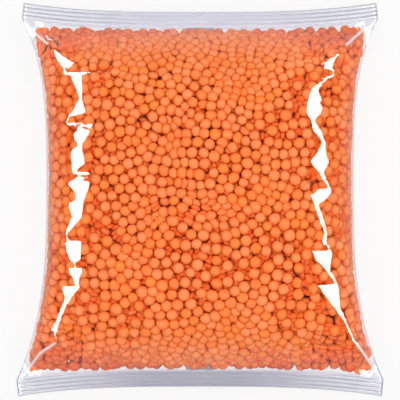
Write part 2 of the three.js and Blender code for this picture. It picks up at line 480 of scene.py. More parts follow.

# %% [markdown]
# Many lentils in one mesh, because thousands of separate objects would be slow. Blender's own from_pydata is
# slow on large lists, so points and faces go in as whole arrays. Each lentil has its own patch of the OFBake
# map, its two faces side by side, so that a baked picture has room for each one's colour and painted shade.

# %% Meshes from arrays
NEARLY_UPRIGHT = 0.9
PATCH_RADIUS = 0.44
# Painted shade: a lentil's rim is tinted darker and redder, for the gaps' shade and the light through its
# edge.
RIM_SHADE_TINT = (0.96, 0.56, 0.18)
RIM_SHARPNESS = 3


def mesh_from_arrays(name, points, faces):
    mesh = bpy.data.meshes.new(name)
    mesh.vertices.add(len(points))
    mesh.vertices.foreach_set("co", np.ascontiguousarray(points, np.float32).ravel())
    mesh.loops.add(faces.size)
    mesh.loops.foreach_set("vertex_index", np.ascontiguousarray(faces, np.int32).ravel())
    mesh.polygons.add(len(faces))
    mesh.polygons.foreach_set("loop_start", np.arange(0, faces.size, faces.shape[1], dtype=np.int32))
    mesh.update(calc_edges=True)
    mesh.shade_smooth()
    return mesh


def in_scene(name, data):
    made = bpy.data.objects.new(name, data)
    bpy.context.scene.collection.objects.link(made)
    return made


def piece_from_arrays(name, points, faces):
    return in_scene(name, mesh_from_arrays(name, points, faces))


def turned_frames(axis, spin):
    """Two directions across each axis, turned by a spin."""
    helper = np.where(np.abs(axis[:, 2:]) < NEARLY_UPRIGHT, [[0.0, 0.0, 1.0]], [[1.0, 0.0, 0.0]])
    across = unit(np.cross(helper, axis))
    other = np.cross(axis, across)
    turn_cos, turn_sin = np.cos(spin)[:, None], np.sin(spin)[:, None]
    return across * turn_cos + other * turn_sin, other * turn_cos - across * turn_sin


def lentil_map(count, points, triangles):
    """Each lentil's patch of the map: its top face in the left half, its lower face in the right."""
    columns = math.ceil(math.sqrt(count / 2))
    rows = math.ceil(count / columns)
    lower_face = points[triangles].mean(1)[:, 2] < 0
    corner = points[triangles][:, :, :2] * PATCH_RADIUS + 0.5
    corner[:, :, 0] = (corner[:, :, 0] + lower_face[:, None]) / 2
    cell = np.arange(count)
    start = np.stack([cell % columns, cell // columns], axis=1)
    return (corner[None] + start[:, None, None, :]) / [columns, rows]


def joined_lentils(name, chosen, template, tones_and_shade):
    points, triangles = template
    count = len(chosen)
    across, other = turned_frames(axis[chosen], spin[chosen])
    radius = diameter[chosen] / 2
    size = np.stack([radius * stretch[chosen, 0], radius * stretch[chosen, 1]], axis=1)
    half_thickness = radius * THICKNESS_SHARE * stretch[chosen, 2]
    vertices = (
        place[chosen][:, None, :]
        + points[None, :, :1] * size[:, None, :1] * across[:, None, :]
        + points[None, :, 1:2] * size[:, None, 1:] * other[:, None, :]
        + points[None, :, 2:] * half_thickness[:, None, None] * axis[chosen][:, None, :]
    )
    faces = triangles[None] + (np.arange(count) * len(points))[:, None, None]
    piece = piece_from_arrays(name, vertices.reshape(-1, 3), faces.reshape(-1, 3))
    patches = piece.data.uv_layers.new(name="OFBake")
    patches.data.foreach_set("uv", lentil_map(count, points, triangles).astype(np.float32).ravel())
    tone_and_shade = piece.data.color_attributes.new("tone_and_shade", "FLOAT_COLOR", "POINT")
    # Painted shade: towards its rim each lentil's colour is tinted darker and redder.
    rim = np.linalg.norm(points[:, :2], axis=1)[None, :, None] ** RIM_SHARPNESS
    centre, edge = tones_and_shade[chosen][:, None, :], (tones_and_shade[chosen] * RIM_SHADE_TINT)[:, None, :]
    colours = (centre * (1 - rim) + edge * rim).reshape(-1, 3)
    colours = np.hstack([colours, np.ones((len(colours), 1))])
    tone_and_shade.data.foreach_set("color", colours.astype(np.float32).ravel())
    return piece


# %% [markdown]
# Each lentil's colour. Shelled lentils run from a soft salmon to a clear orange. Those deeper down are
# painted redder and darker: painted shade, for the light that reaches them has gone through others. The
# colour and the painted shade go into the mesh as a named attribute, so one material serves them all.

# %% Shapes, colours and painted shade of single lentils
DEEP_SHADE_TINT = (0.86, 0.56, 0.26)
DEEP_FROM, DEEP_TO = 3.2 * MM, 4.4 * MM
SALMON = np.array([0.97, 0.31, 0.11])
ORANGE = np.array([0.96, 0.245, 0.045])
AMBER = np.array([0.95, 0.27, 0.04])
AMBER_SHARE = 0.15
DARKEST, BRIGHTEST = 0.94, 1.04
STRETCH_SPREAD = 0.03
LARGEST_STRETCH = 0.08

spin = rng.uniform(0, 2 * math.pi, LENTIL_COUNT)
stretch = 1 + rng.normal(0, STRETCH_SPREAD, (LENTIL_COUNT, 3)).clip(-LARGEST_STRETCH, LARGEST_STRETCH)
pick = rng.uniform(0, 1, (LENTIL_COUNT, 1))
blend = rng.uniform(0, 1, (LENTIL_COUNT, 1))
tones_and_shade = np.where(pick < AMBER_SHARE, AMBER + (ORANGE - AMBER) * blend, ORANGE + (SALMON - ORANGE) * blend)
tones_and_shade = tones_and_shade * rng.uniform(DARKEST, BRIGHTEST, (LENTIL_COUNT, 1))
# Painted shade: lentils deeper under the film are painted darker and redder.
deep = np.clip((depth[:, None] - DEEP_FROM) / (DEEP_TO - DEEP_FROM), 0, 1)
tones_and_shade = tones_and_shade * (1 - deep * (1 - np.array(DEEP_SHADE_TINT)))

FILM_LAYER = 2.3 * MM
BACK_BELOW = -0.25
facing_up = normal[:, 2] > BACK_BELOW
at_film = depth < FILM_LAYER
shares = {
    "lentils_front": (at_film & facing_up, FINE_LENTIL),
    "lentils_back": (at_film & ~facing_up, FINE_LENTIL),
    "lentils_under_front": (~at_film & facing_up, PLAIN_LENTIL),
    "lentils_under_back": (~at_film & ~facing_up, PLAIN_LENTIL),
}
pieces = {
    name: joined_lentils(name, np.flatnonzero(inside & share), template, tones_and_shade)
    for name, (share, template) in shares.items()
}
for name, piece in pieces.items():
    print(name, "triangles:", len(piece.data.polygons))

# %% [markdown]
# The finish of a lentil: dry and nearly matt, with a faint mottle where the skin came off, and a little light
# that sinks in and comes out redder. The mottle is fine noise, and the sinking light is the shader's own
# subsurface part, which costs less than modelling layers.


# %% The lentil finish
def new_material(name):
    material = bpy.data.materials.new(name)
    material.use_nodes = True
    material.node_tree.nodes.clear()
    return material, material.node_tree.nodes


def set_inputs(node, inputs):
    for name, value in inputs.items():
        node.inputs[name].default_value = value
    return node


def add_node(nodes, kind, inputs=None):
    return set_inputs(nodes.new("ShaderNode" + kind), inputs or {})


def math_node(nodes, operation, inputs=None):
    node = add_node(nodes, "Math", inputs)
    node.operation = operation
    return node


def colour_mix(nodes, inputs):
    """A mix of two colours. Its kind is set first, because that decides which inputs it has."""
    mix = nodes.new("ShaderNodeMix")
    mix.data_type = "RGBA"
    return set_inputs(mix, inputs)


def attribute_node(nodes, name):
    attribute = nodes.new("ShaderNodeAttribute")
    attribute.attribute_name = name
    return attribute


def join(source, output, target, socket):
    """Leads one node's output to another node's input, in the tree that both belong to."""
    source.id_data.links.new(source.outputs[output], target.inputs[socket])


def lentil_finish():
    material, nodes = new_material("shelled_lentil")
    output = add_node(nodes, "OutputMaterial")
    tone_and_shade = attribute_node(nodes, "tone_and_shade")
    where = add_node(nodes, "TexCoord")
    mottle = add_node(nodes, "TexNoise", {"Scale": 900, "Detail": 3})
    amount = add_node(nodes, "MapRange", {"From Min": 0.45, "From Max": 0.8, "To Max": 0.35})
    paler = colour_mix(nodes, {"B": (0.96, 0.33, 0.13, 1)})
    relief = add_node(nodes, "Bump", {"Strength": 0.25, "Distance": 0.0002})
    skin = add_node(nodes, "BsdfPrincipled", {"Roughness": 0.6, "Specular IOR Level": 0.04})
    sinking = {"Subsurface Weight": 0.2, "Subsurface Radius": (1.0, 0.35, 0.12), "Subsurface Scale": 0.0012}
    set_inputs(skin, sinking)
    join(where, "Object", mottle, "Vector")
    join(mottle, "Fac", amount, "Value")
    join(amount, "Result", paler, "Factor")
    join(tone_and_shade, "Color", paler, "A")
    join(mottle, "Fac", relief, "Height")
    join(relief, "Normal", skin, "Normal")
    join(paler, "Result", skin, "Base Color")
    join(skin, "BSDF", output, "Surface")
    return material


SHELLED_LENTIL = lentil_finish()
for piece in pieces.values():
    piece.data.materials.append(SHELLED_LENTIL)

# %% [markdown]
# The core stands for all the lentils deeper down. It stops the light that gets through the shell of lentils.
# Its deep orange is painted shade, darker than a lentil, and it shows only at the bottom of a gap.

# %% The core
CORE_INSET = 5.2 * MM
CORE_END_INSET = 10 * MM
CORE_ROWS, CORE_AROUND = 48, 72
CORE_TAPER = 0.5
CORE_WIDTH_SHARE = 0.9


def ring_tube(rings):
    """Points and faces of a tube from ring to ring. Its first and last rings are pressed flat or small."""
    count, around = rings.shape[:2]
    points = rings.reshape(-1, 3)
    here = np.arange(count * around).reshape(count, around)
    after = np.roll(here, -1, axis=1)
    quads = np.stack([here[:-1], here[1:], after[1:], after[:-1]], axis=-1).reshape(-1, 4)
    return points, quads


def core_piece():
    angle = np.linspace(0, 2 * math.pi, CORE_AROUND, endpoint=False)
    v, angle = np.meshgrid(np.linspace(-1, 1, CORE_ROWS), angle, indexing="ij")
    power = 2 / roundness(v)
    u, side = signed_power(np.cos(angle), power), signed_power(np.sin(angle), power)
    swell = np.maximum(bulge(side, v) - CORE_INSET * fullness(v) ** CORE_TAPER, 0)
    x = u * (filled_half_width(v * CORE_WIDTH_SHARE) - CORE_INSET)
    y = v * (seal_distance(u) - CORE_END_INSET)
    z = above_floor(seam_height(u, v) + side * swell, CORE_INSET)
    return piece_from_arrays("lentil_core", *ring_tube(np.stack([x, y, z], axis=-1)))


def core_finish():
    material, nodes = new_material("shaded_deep_lentils")
    output = add_node(nodes, "OutputMaterial")
    heap = add_node(nodes, "BsdfPrincipled", {"Roughness": 0.7})
    cells = add_node(nodes, "TexVoronoi", {"Scale": 230})
    where = add_node(nodes, "TexCoord")
    # Painted shade: a darker, redder orange than a lentil's, darker still towards the edges of its cells.
    shade = colour_mix(nodes, {"A": (0.55, 0.08, 0.01, 1), "B": (0.3, 0.025, 0.004, 1)})
    join(where, "Object", cells, "Vector")
    join(cells, "Distance", shade, "Factor")
    join(shade, "Result", heap, "Base Color")
    join(heap, "BSDF", output, "Surface")
    return material


pieces["lentil_core"] = core_piece()
pieces["lentil_core"].data.materials.append(core_finish())
print("core triangles:", 2 * len(pieces["lentil_core"].data.polygons))

# %% [markdown]
# Where the picture is taken from: nearly straight above, a little towards the bottom seal. It is settled
# before the film, because what a flat facet mirrors depends on where it is seen from.

# %% The viewpoint
CAMERA_DISTANCE = 0.62
CAMERA_TILT = math.radians(2.5)
AIM = np.array([0.0, -0.8 * MM, SEAL_PLANE_Z])
VIEWPOINT = AIM + CAMERA_DISTANCE * np.array([0.0, -math.sin(CAMERA_TILT), math.cos(CAMERA_TILT)])
print("viewpoint, mm:", np.round(VIEWPOINT / MM, 1))

# %% [markdown]
# The film is one thin tube from end to end: front, back and both crimped seals are the same piece, as on the
# real bag. Down each side it buckles into flat facets between creases, because a pillow bag's side is shorter
# than the film that it is made from. Each facet mirrors the light or nothing, which gives the jagged white
# patches. A cloth simulation would crease it anew each time that it is tuned, so the facets are planned as a
# list down each side, in mm: how far along the bag, and from which distance to which from its middle line,
# the film mirrors the side light. Two places close together make a sharp crease. The heights are worked out
# on a grid, from the edge inward, because the mirroring slope across depends on the slope along, which the
# facets themselves change.

# %% Facets down the sides
LEFT_FACETS = (
    (76, 75, 74.2), (65, 64.4, 63.2), (63, 62.6, 58.1), (58, 60.8, 54.3), (55, 58.5, 51.8),
    (53.4, 57.3, 56.6), (51.7, 57.5, 56.9), (51.4, 57.5, 47), (50.6, 57, 48), (50.2, 54, 49.5),
    (43.7, 51.4, 49.2), (40.8, 50, 49.4), (34.4, 53.5, 47.6), (33.6, 55, 54.6), (29.9, 56, 55.6),
    (29.5, 48.5, 44.4), (25.5, 53, 46.3), (20.7, 50.3, 49.2), (18.5, 53.8, 48.9), (13.6, 53.2, 47.6),
    (9.6, 53.3, 52.7), (9.2, 49.6, 44.1), (7.5, 50.4, 46.7), (6.6, 52, 51.5), (5.4, 55.6, 45.4),
    (2.1, 52.1, 46.7), (-2.1, 51.1, 48.2), (-3, 55, 48.5), (-8.8, 53, 48.9), (-13.4, 55.4, 53.3),
    (-16, 56, 55.6), (-18.8, 55, 54.6), (-19.3, 56.7, 49), (-26.9, 54, 49.8), (-27.4, 52, 51.6),
    (-30, 52, 51.6), (-30.4, 55.2, 48.5), (-34.3, 52.5, 50.2), (-37.4, 51, 50.2), (-37.9, 57.9, 50),
    (-42, 56, 53.3), (-46.8, 58.1, 56.5), (-51.6, 60, 58.4), (-56.4, 62.9, 60), (-57.2, 61, 60.5),
    (-59.6, 60.4, 59.6), (-63.6, 66.2, 64.8), (-73.9, 74.4, 74),
)
RIGHT_FACETS = (
    (76, 75, 74.2), (64.5, 62, 60.8), (61.3, 59.8, 56.6), (58.1, 57.5, 53.8), (54.4, 55.4, 50),
    (53.8, 56, 48.5), (53, 56.2, 55.6), (50.4, 56.7, 56), (49, 52.4, 51.6), (44.3, 49.3, 46.4),
    (40.6, 50.2, 45.1), (40.2, 52.1, 45), (38.9, 48.8, 44.8), (37.6, 50.8, 44.5), (34.4, 50.3, 44.2),
    (31.3, 47, 46.1), (27.1, 49.9, 47), (22.3, 52.1, 51.2), (17.8, 52.1, 48.6), (14, 53.6, 45.8),
    (9.5, 51.2, 49.6), (7.2, 52.1, 50.8), (2.8, 54.7, 53.8), (2.2, 54.4, 49), (-0.1, 53.8, 45.8),
    (-3.6, 48.6, 47.4), (-9.1, 51, 49.3), (-15.6, 52.7, 52), (-19.9, 52.5, 50.1), (-20.4, 53, 52.6),
    (-23, 54.4, 54), (-23.4, 55, 46.2), (-27.6, 54.4, 49.1), (-30.5, 53.7, 52), (-37, 57.7, 56.8),
    (-37.4, 57.7, 48.6), (-43, 58.2, 53.4), (-46.8, 58.7, 56.3), (-51.6, 61.1, 60.1), (-59.3, 64.4, 63.5),
    (-61.2, 66.3, 64.4), (-68.4, 71.1, 69.5), (-72.7, 74.2, 73.8),
)
MIRRORING = math.radians(50)
TOO_STEEP = math.radians(63)
TOO_SHALLOW = math.radians(36)
STEEPEST_ALONG = 0.95
LEVEL_LENGTH = 30 * MM
GRID_X = np.arange(0, BOTTOM_SEAL_WIDTH / 2 + 0.2 * MM, 0.1 * MM)
GRID_Y = np.arange(-78.9 * MM, 79.0 * MM, 0.3 * MM)
GRID_END = 1.001
MARCH_SMOOTHING = 0.1
FACETS_END = 76 * MM
FACETS_FADE = 10 * MM
LIFT_ROUNDS = 3


def slope_across(turned, x, y, z, slope_along):
    """Slope across the bag that mirrors a light turned this far sideways from upright.

    The light is far longer than the bag, so only the sideways part of the mirrored direction counts, and the
    law of reflection becomes a quadratic equation for the slope.
    """
    look_x = -x / (VIEWPOINT[2] - z)
    look_y = (VIEWPOINT[1] - y) / (VIEWPOINT[2] - z)
    light = math.tan(turned)
    square = look_x + light
    linear = 2 * (1 - slope_along * look_y - light * look_x)
    constant = -(slope_along**2 + 1) * look_x - light * (1 - 2 * slope_along * look_y - slope_along**2)
    root = np.sqrt(np.maximum(linear**2 - 4 * square * constant, 0))
    return np.maximum((root - linear) / (2 * square), 0)


def smoothed(values):
    change = np.diff(values)
    change = np.concatenate([change[:1], change, change[-1:]])
    return values + MARCH_SMOOTHING * np.diff(change)


def facet_slope(x, slope, height, in_ear, outer, inner):
    """The slope across that each place along the bag wants, at this distance from the middle line."""
    along = np.gradient(height, GRID_Y).clip(-STEEPEST_ALONG, STEEPEST_ALONG)
    steep, mirroring, shallow = (
        slope_across(turned, x, GRID_Y, height, along) for turned in (TOO_STEEP, MIRRORING, TOO_SHALLOW)
    )
    wanted = np.where(x > inner, mirroring, np.minimum(slope, shallow))
    return np.where(x > outer, np.where(in_ear, slope, np.maximum(slope, steep)), wanted)


def marched_rise(facets, lift):
    """How far the facets raise the film, worked out from the bag's edge towards its middle."""
    along, outer, inner = np.array(facets)[::-1].T * MM
    outer, inner = np.interp(GRID_Y, along, outer), np.interp(GRID_Y, along, inner)
    x, y = np.meshgrid(GRID_X, GRID_Y, indexing="ij")
    in_ear = x > filled_half_width(bag_place(x, y, 1)[1])
    plain = face_heights(x, y)[1]
    edge = half_width(GRID_Y / (HALF_BODY + SEAL_PULL))
    outside = np.clip((edge - x) / (edge - outer), 0, 1)
    fade = np.clip((FACETS_END - np.abs(GRID_Y)) / FACETS_FADE, 0, 1)
    rise = np.zeros_like(x)
    for k in range(len(GRID_X) - 2, -1, -1):
        slope = (plain[k] - plain[k + 1]) / (GRID_X[k + 1] - GRID_X[k])
        wanted = facet_slope(GRID_X[k], slope, plain[k + 1] + rise[k + 1], in_ear[k], outer, inner)
        added = fade * (wanted - slope) * (GRID_X[k + 1] - GRID_X[k]) + lift * (outside[k] - outside[k + 1])
        rise[k] = smoothed(rise[k + 1] + added)
    return rise, np.clip((inner - x) / LEVEL_LENGTH, 0, 1) ** 2


def facet_rise(facets):
    """The marched rise, lifted outside the facets where it ends too low and lowered inside where too high."""
    lift = np.zeros_like(GRID_Y)
    for _ in range(LIFT_ROUNDS):
        rise, inside = marched_rise(facets, lift)
        lift = lift - np.minimum(rise[0], 0)
    return rise - rise[0] * inside * (2 - inside)


def on_grid(grid, x, y):
    """A grid's value at each point, from the four grid places round it."""
    column = np.clip(x / (GRID_X[1] - GRID_X[0]), 0, len(GRID_X) - GRID_END)
    row = np.clip((y - GRID_Y[0]) / (GRID_Y[1] - GRID_Y[0]), 0, len(GRID_Y) - GRID_END)
    i, j = column.astype(int), row.astype(int)
    a, b = column - i, row - j
    before = grid[i, j] * (1 - b) + grid[i, j + 1] * b
    return before * (1 - a) + (grid[i + 1, j] * (1 - b) + grid[i + 1, j + 1] * b) * a


LEFT_RISE, RIGHT_RISE = facet_rise(LEFT_FACETS), facet_rise(RIGHT_FACETS)
print("most that the facets raise the film, mm:", round(max(LEFT_RISE.max(), RIGHT_RISE.max()) / MM, 2))


def creased_rise(x, y):
    return np.where(x > 0, on_grid(RIGHT_RISE, np.abs(x), y), on_grid(LEFT_RISE, np.abs(x), y))


# %% [markdown]
# The film's rings. Most go round the filled part, evenly spaced along it, and the last few at each end are
# the seal, where front and back lie together and are pressed into four ribs. The rings have most of their
# points where the facets are, since the rest of the film is smooth.

# %% The film's mesh
FILM_ROWS = 240
FRONT_POINTS = 270
BACK_POINTS = 64
RING_SAMPLES = 900
EAR_SAMPLES = 60
EAR_FADE = 0.004
FACET_BAND = (40 * MM, 76 * MM)
FACET_POINTS = 3.2
POUCH_END = 0.9995
LAYERS_MEET = 0.01
ROWS_PER_RIB = 6
RIB_COUNT = 4
RIB_DEPTH = 0.5 * MM
SEAL_TAPER = 0.8 * MM
KNOT_WIDTH = 1.3 * MM
KNOT_HEIGHT = 0.45 * MM


def ear_points(v, side):
    """The front film of one ear, from its outer edge to the filled part."""
    x = np.linspace(half_width(v), filled_half_width(v), EAR_SAMPLES, endpoint=False)
    u = x / half_width(v)
    y = v * seal_distance(u)
    z = seam_height(u, v) + creased_rise(side * x, y) * (1 - u) / np.maximum(1 - u, EAR_FADE)
    return np.stack([side * x, y, z], axis=1)


def whole_ring(v):
    """Closely spaced points of a ring: right ear, front from right to left, left ear, back."""
    angle = np.linspace(0, math.pi, RING_SAMPLES)
    front, back = film_point(v, angle), film_point(v, angle + math.pi)
    front[:, 2] += creased_rise(front[:, 0], front[:, 1])
    layer = np.array([0, 0, LAYER_GAP])
    right, left = ear_points(v, 1), ear_points(v, -1)
    return np.vstack([right + layer, front + layer, left[::-1] + layer, left[:1], back - layer, right[:1]])


def spread_evenly(ring):
    left_tip = RING_SAMPLES + 2 * EAR_SAMPLES
    step = np.linalg.norm(np.diff(ring, axis=0), axis=1)
    middle = np.abs(ring[1:, 0] + ring[:-1, 0]) / 2
    in_band = (middle > FACET_BAND[0]) & (middle < FACET_BAND[1]) & (np.arange(len(step)) < left_tip)
    length = np.concatenate([[0], np.cumsum(step * np.where(in_band, FACET_POINTS, 1))])
    front = np.linspace(0, length[left_tip], FRONT_POINTS, endpoint=False)
    back = np.linspace(length[left_tip], length[-1], BACK_POINTS, endpoint=False)
    wanted = np.concatenate([front, back])
    return np.stack([np.interp(wanted, length, ring[:, k]) for k in range(3)], axis=1)


def pouch_rings():
    rings = []
    for v in np.linspace(-1, 1, FILM_ROWS) * POUCH_END:
        ring = spread_evenly(whole_ring(v))
        ring[:, 2] = np.maximum(ring[:, 2], FILM_REST / 2)
        rings.append(ring)
    return rings


def seal_ring(side, share):
    """A ring of the seal: share runs from 0 at its root to 1 at the bag's end."""
    root = spread_evenly(whole_ring(side * POUCH_END))
    width = half_width(np.array(side * 1.0))
    u = root[:, 0] / width
    ridge = RIB_DEPTH * (np.abs(np.sin(math.pi * RIB_COUNT * share)) - 0.5)
    front = np.arange(len(root)) < FRONT_POINTS
    inside = np.clip((1 - np.abs(u)) / LAYERS_MEET, 0, 1) * (share < 1)
    layer = np.where(front, 1, -1) * inside * LAYER_GAP
    x = u * (width - SEAL_TAPER * share)
    y = side * (seal_distance(u) + SEAL_HEIGHT * share)
    knot = KNOT_HEIGHT * np.exp(-((x / KNOT_WIDTH) ** 2))
    z = seam_height(u, 1.0) + ridge + layer + knot
    return np.stack([x, y, z], axis=-1)


def film_mesh():
    steps = np.arange(1, RIB_COUNT * ROWS_PER_RIB + 1) / (RIB_COUNT * ROWS_PER_RIB)
    lower = [seal_ring(-1, share) for share in steps[::-1]]
    upper = [seal_ring(1, share) for share in steps]
    return ring_tube(np.array(lower + pouch_rings() + upper))


FILM_POINTS, FILM_QUADS = film_mesh()
print("film triangles:", 2 * len(FILM_QUADS))

# %% [markdown]
# How the film looks from place to place. It is clear over the lentils, and hazy in the crimped seals, with
# grooves painted dark grey as shade, the lower seal painted greyer as shade, and, towards their ends, ribs
# left clearer so that they show white as painted highlights. Slack film beside the seals is a little hazy,
# and away from the seals its haze is painted pink, as light from the lentils. A sharp fold runs from each
# corner to the first facet, too narrow for the rings, so its glint is a painted highlight, a milky white line
# on the film.
# All this goes into the mesh as named values, because an image would need a map of the film.

# %% Looks over the film
FILM_LOOKS = ("haze_and_highlight", "painted_seal_shade", "cool", "fold")
UPPER_SEAL_SHADE = 0.13
LOWER_SEAL_SHADE = 0.66
SHADE_LOST_AT_ENDS = 0.4
LEAST_GROOVE_SHADE = 0.35
GROOVE_SHARPNESS = 1.5
RIB_HIGHLIGHT_AT_BOTTOM = 0.8
ENDS_FROM, ENDS_RAMP = 0.3, 0.5
COOL_FROM, COOL_RAMP = 0.8, 0.1
SEAL_STARTS = 0.01
CRIMP_HAZE = 0.6
SLACK_HAZE = 0.45
# Painted highlight: the corner folds are painted as milky white lines.
FOLD_HIGHLIGHT_HAZE = 0.8
FOLD_HALF_WIDTH = 0.65 * MM
FOLD_CORE = 1.3
FOLD_LINES = (
    ((-76.3, 76.0), (-65.0, 65.3)),
    ((75.7, 76.2), (70.2, 72.5), (62.2, 64.6)),
    ((-60.7, -61.5), (-67.5, -65.9), (-76.5, -76.9)),
    ((66.2, -62.3), (69.6, -66.7), (76.9, -76.0)),
)
LENTIL_THICKNESS = LENTIL_DIAMETER * THICKNESS_SHARE


def distance_to_line(x, y, start, end):
    start, end = np.array(start) * MM, np.array(end) * MM
    way = end - start
    share = np.clip(((x - start[0]) * way[0] + (y - start[1]) * way[1]) / (way**2).sum(), 0, 1)
    return np.hypot(x - start[0] - share * way[0], y - start[1] - share * way[1])


def corner_folds(x, y):
    """How near each point is to a fold, from 0 to 1."""
    lines = [pair for line in FOLD_LINES for pair in zip(line[:-1], line[1:])]
    nearest = np.min([distance_to_line(x, y, start, end) for start, end in lines], axis=0)
    return np.clip(FOLD_CORE - nearest / FOLD_HALF_WIDTH, 0, 1)


def film_looks(points):
    """At each point: haziness with painted highlights, painted seal shade, grey over painted pink, and fold.
    """
    x, y, z = points.T
    u = x / half_width(np.array(1.0))
    share = np.clip((np.abs(y) - seal_distance(u)) / SEAL_HEIGHT, 0, 1)
    in_seal = share > SEAL_STARTS
    ridge = np.abs(np.sin(math.pi * RIB_COUNT * share))
    towards_end = np.clip((np.abs(u) - ENDS_FROM) / ENDS_RAMP, 0, 1)
    # Painted highlight: towards their ends the ribs lose haze and show white, less so at the bottom.
    white = ridge**2 * towards_end * np.where(y > 0, 1, RIB_HIGHLIGHT_AT_BOTTOM)
    back, front = face_heights(x, y)
    slack = np.clip(1 - (front - back) / LENTIL_THICKNESS, 0, 1)
    haze_and_highlight = np.where(in_seal, CRIMP_HAZE * (1 - white), SLACK_HAZE * slack)
    # Painted shade: the lower seal is greyer than the upper, less so towards its ends, and the grooves are
    # darker.
    grey = np.where(y > 0, UPPER_SEAL_SHADE, LOWER_SEAL_SHADE * (1 - SHADE_LOST_AT_ENDS * towards_end))
    painted_seal_shade = (1 - ridge) ** GROOVE_SHARPNESS * (LEAST_GROOVE_SHADE + (1 - LEAST_GROOVE_SHADE) * towards_end)
    # Where this is low, away from the seals, the haze takes a painted pink, for the lentils' scattered light.
    cool = np.clip((np.abs(y) / seal_distance(u) - COOL_FROM) / COOL_RAMP, 0, 1)
    # Painted highlight: a milky white line along each corner fold, on the front film only.
    fold = corner_folds(x, y) * (z > seam_height(u, y / HALF_BODY) - LAYER_GAP)
    return np.maximum(haze_and_highlight, FOLD_HIGHLIGHT_HAZE * fold), in_seal * np.maximum(painted_seal_shade, grey), cool, fold


def set_values(piece, name, values):
    piece.data.attributes.new(name, "FLOAT", "POINT").data.foreach_set("value", values.astype(np.float32))


pieces["film"] = piece_from_arrays("film", FILM_POINTS, FILM_QUADS)
for name, values in zip(FILM_LOOKS, film_looks(FILM_POINTS)):
    set_values(pieces["film"], name, values)
print("values of the film:", FILM_LOOKS)

# %% [markdown]
# The back seam. The tube is one sheet wrapped round, and its two edges are welded into a fin that lies flat
# along the middle of the back. It doesn't show in the photograph, but both seals have a small knot at their
# middle, where such a fin is crimped in. It is a thin closed strip just outside the back film.

# %% The back seam's mesh
SEAM_WIDTH = 12 * MM
SEAM_THICKNESS = 0.05 * MM
SEAM_ROWS = 90


def seam_piece():
    v = np.linspace(-1, 1, SEAM_ROWS)[:, None]
    across = np.array([-0.5, 0, 0.5, 0.5, 0, -0.5])[None, :] * SEAM_WIDTH + 0 * v
    along = v * HALF_BODY + 0 * across
    outer = np.maximum(face_heights(across, along)[0] - LAYER_GAP - SEAM_THICKNESS, SEAM_THICKNESS / 2)
    lift = np.array([1, 1, 1, 0, 0, 0])[None, :] * SEAM_THICKNESS
    points, quads = ring_tube(np.stack([across, along, outer + lift / 2], axis=-1))
    piece = piece_from_arrays("back_seam", points, quads)
    for name, value in (("haze_and_highlight", SLACK_HAZE), ("cool", 1.0)):
        set_values(piece, name, np.full(len(points), value))
    return piece


pieces["back_seam"] = seam_piece()
print("back seam triangles:", 2 * len(pieces["back_seam"].data.polygons))

# %% [markdown]
# Clear film lets nearly all light straight through and mirrors a little, more at a glancing angle. A glass
# shader would bend the light as a thick block does, so the film is a see-through shader mixed with a mirror
# by how steeply it is seen. Haze mixes in a milky colour: painted pink along the sides for the lentils'
# light, painted grey shade in the seals and a painted white highlight on the folds. Near the seals, where the
# film is slack and finely wrinkled, its mirror is a little duller.

# %% The film finish
MIRROR_AT_FACE = 0.025
MIRROR_AT_RIM = 0.5
MILK_AT_RIM = 0.8
MILK_POWER = 4
MIRROR_ROUGHNESS = 0.03
MORE_ROUGH_AT_SEALS = 0.08


def film_finish():
    material, nodes = new_material("clear_film")
    output = add_node(nodes, "OutputMaterial")
    clear = add_node(nodes, "BsdfTransparent", {"Color": (0.955, 0.957, 0.97, 1)})
    mirror = add_node(nodes, "BsdfPrincipled", {"Base Color": (1, 1, 1, 1), "Metallic": 1})
    milky = add_node(nodes, "BsdfPrincipled", {"Roughness": 0.3})
    weight = add_node(nodes, "LayerWeight", {"Blend": 0.5})
    share = add_node(nodes, "MapRange", {"To Min": MIRROR_AT_FACE, "To Max": MIRROR_AT_RIM})
    glancing = math_node(nodes, "POWER", {1: MILK_POWER})
    thickness = math_node(nodes, "MULTIPLY_ADD", {1: MILK_AT_RIM})
    dullness = math_node(nodes, "MULTIPLY_ADD", {1: MORE_ROUGH_AT_SEALS, 2: MIRROR_ROUGHNESS})
    haze_and_highlight, painted_seal_shade, cool, fold = (attribute_node(nodes, name) for name in FILM_LOOKS)
    # Painted shade: grooves and the lower seal darken the seals' haze from pale grey to dark grey.
    seal_shade = colour_mix(nodes, {"A": (0.60, 0.605, 0.70, 1), "B": (0.13, 0.135, 0.2, 1)})
    # Painted light: away from the seals the haze is painted pink, for the lentils' light that the film
    # scatters.
    smooth_shade = colour_mix(nodes, {"A": (0.82, 0.3, 0.31, 1)})
    # Painted highlight: on a corner fold the haze is painted nearly white.
    shade = colour_mix(nodes, {"B": (0.9, 0.87, 0.88, 1)})
    with_milk, with_mirror = (add_node(nodes, "MixShader") for _ in range(2))
    join(weight, "Facing", glancing, 0)
    join(glancing, "Value", share, "Value")
    join(glancing, "Value", thickness, 0)
    join(haze_and_highlight, "Fac", thickness, 2)
    join(painted_seal_shade, "Fac", seal_shade, "Factor")
    join(cool, "Fac", smooth_shade, "Factor")
    join(seal_shade, "Result", smooth_shade, "B")
    join(smooth_shade, "Result", shade, "A")
    join(fold, "Fac", shade, "Factor")
    join(shade, "Result", milky, "Base Color")
    join(cool, "Fac", dullness, 0)
    join(dullness, "Value", mirror, "Roughness")
    join(thickness, "Value", with_milk, "Fac")
    join(clear, "BSDF", with_milk, 1)
    join(milky, "BSDF", with_milk, 2)
    join(share, "Result", with_mirror, "Fac")
    join(with_milk, "Shader", with_mirror, 1)
    join(mirror, "BSDF", with_mirror, 2)
    join(with_mirror, "Shader", output, "Surface")
    return material


FILM_PIECES = ("film", "back_seam")
CLEAR_FILM = film_finish()
for name in FILM_PIECES:
    pieces[name].data.materials.append(CLEAR_FILM)
print("film finish on:", FILM_PIECES)

